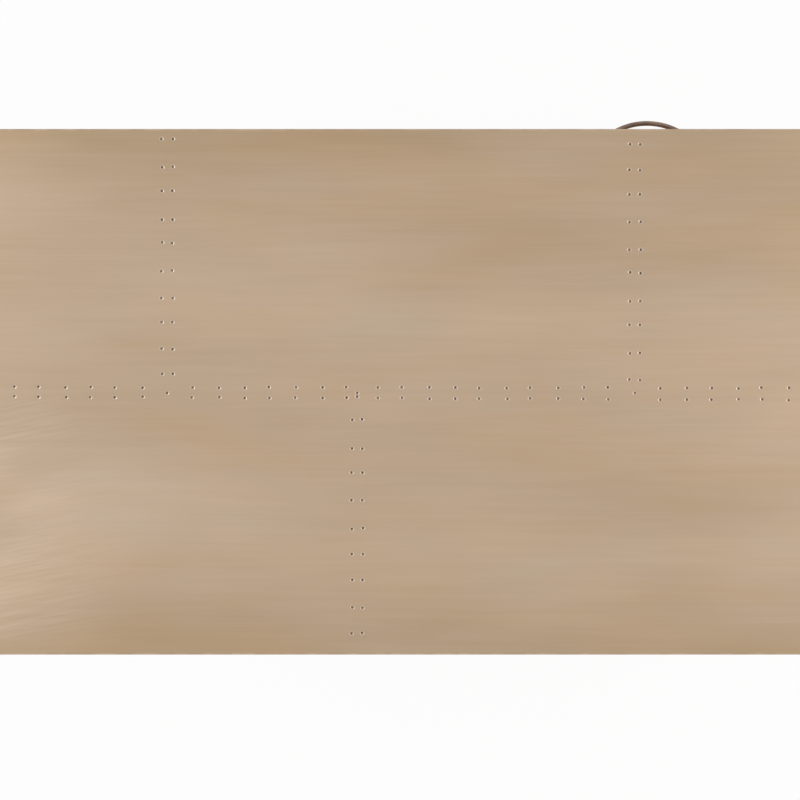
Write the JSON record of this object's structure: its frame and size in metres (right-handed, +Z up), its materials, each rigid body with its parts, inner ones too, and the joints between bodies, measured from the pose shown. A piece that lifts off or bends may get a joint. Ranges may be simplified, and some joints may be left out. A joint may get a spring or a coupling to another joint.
{
  "type": "campaign desk",
  "caption": "Campaign writing desk with a nailed, brass-clad top on a pedestal of drawers with arched pulls and a crossed-leg iron frame joined by a stretcher.",
  "frame": {"origin": "on the floor, under the middle of the whole desk with its pulls", "axes": "+X to the sitter's right along the desk, +Y from the sitter to the back, +Z up"},
  "size_m": [1.22, 0.7864, 0.762],
  "materials": {
    "brass_sheet": "brushed, lacquered pale brass sheet",
    "nail_brass": "tarnished brass pins",
    "core_wood": "stained hardwood, satin",
    "drawer_wood": "waxed pale hardwood",
    "pull_bronze": "dark bronze patina",
    "frame_bronze": "dark bronze finish on iron",
    "slide_steel": "zinc plated",
    "screw_steel": "plain steel"
  },
  "bodies": {
    "desk": {"top_core": "core_wood", "top_sheet_front_left": "brass_sheet", "top_sheet_front_middle": "brass_sheet", "top_sheet_front_right": "brass_sheet", "top_sheet_back_left": "brass_sheet", "top_sheet_back_right": "brass_sheet", "top_nails": "nail_brass", "case_outer_side": "core_wood", "case_inner_side": "core_wood", "case_bottom": "core_wood", "case_top": "core_wood", "case_back": "core_wood", "case_rail_upper": "core_wood", "case_rail_lower": "core_wood", "case_outer_sheet": "brass_sheet", "case_inner_sheet": "brass_sheet", "case_back_sheet": "brass_sheet", "case_edge_strips": "brass_sheet", "case_nails": "nail_brass", "case_feet": "frame_bronze", "slide_case_rails": "slide_steel", "x_leg_inner": "frame_bronze", "x_leg_outer": "frame_bronze", "leg_caps": "brass_sheet", "pivot_bolt": "pull_bronze", "stretcher": "frame_bronze", "wood_screws": "screw_steel"},
    "upper_drawer": {"upper_drawer_front": "core_wood", "upper_drawer_face_sheet": "brass_sheet", "upper_drawer_face_nails": "nail_brass", "upper_drawer_left_side": "drawer_wood", "upper_drawer_right_side": "drawer_wood", "upper_drawer_back": "drawer_wood", "upper_drawer_bottom": "drawer_wood", "upper_drawer_pull": "pull_bronze", "upper_drawer_pull_screws": "screw_steel", "upper_slide_drawer_rails": "slide_steel"},
    "upper_slide_middle": {"upper_slide_middle_rails": "slide_steel"},
    "middle_drawer": {"middle_drawer_front": "core_wood", "middle_drawer_face_sheet": "brass_sheet", "middle_drawer_face_nails": "nail_brass", "middle_drawer_left_side": "drawer_wood", "middle_drawer_right_side": "drawer_wood", "middle_drawer_back": "drawer_wood", "middle_drawer_bottom": "drawer_wood", "middle_drawer_pull": "pull_bronze", "middle_drawer_pull_screws": "screw_steel", "middle_slide_drawer_rails": "slide_steel"},
    "middle_slide_middle": {"middle_slide_middle_rails": "slide_steel"},
    "lower_drawer": {"lower_drawer_front": "core_wood", "lower_drawer_face_sheet": "brass_sheet", "lower_drawer_face_nails": "nail_brass", "lower_drawer_left_side": "drawer_wood", "lower_drawer_right_side": "drawer_wood", "lower_drawer_back": "drawer_wood", "lower_drawer_bottom": "drawer_wood", "lower_drawer_pull": "pull_bronze", "lower_drawer_pull_screws": "screw_steel", "lower_slide_drawer_rails": "slide_steel"},
    "lower_slide_middle": {"lower_slide_middle_rails": "slide_steel"}
  },
  "joints": [
    {"name": "upper_drawer_slide", "type": "slide", "parent": "desk", "child": "upper_drawer", "axis": [0, -1, 0], "range_m": [0, 0.56]},
    {"name": "upper_middle_rail_slide", "type": "slide", "parent": "desk", "child": "upper_slide_middle", "axis": [0, -1, 0], "range_m": [0, 0.28]},
    {"name": "middle_drawer_slide", "type": "slide", "parent": "desk", "child": "middle_drawer", "axis": [0, -1, 0], "range_m": [0, 0.56]},
    {"name": "middle_middle_rail_slide", "type": "slide", "parent": "desk", "child": "middle_slide_middle", "axis": [0, -1, 0], "range_m": [0, 0.28]},
    {"name": "lower_drawer_slide", "type": "slide", "parent": "desk", "child": "lower_drawer", "axis": [0, -1, 0], "range_m": [0, 0.56]},
    {"name": "lower_middle_rail_slide", "type": "slide", "parent": "desk", "child": "lower_slide_middle", "axis": [0, -1, 0], "range_m": [0, 0.28]}
  ],
  "couplings": [
    {"joint": "upper_middle_rail_slide", "follows": "upper_drawer_slide", "ratio": 0.5},
    {"joint": "middle_middle_rail_slide", "follows": "middle_drawer_slide", "ratio": 0.5},
    {"joint": "lower_middle_rail_slide", "follows": "lower_drawer_slide", "ratio": 0.5}
  ]
}
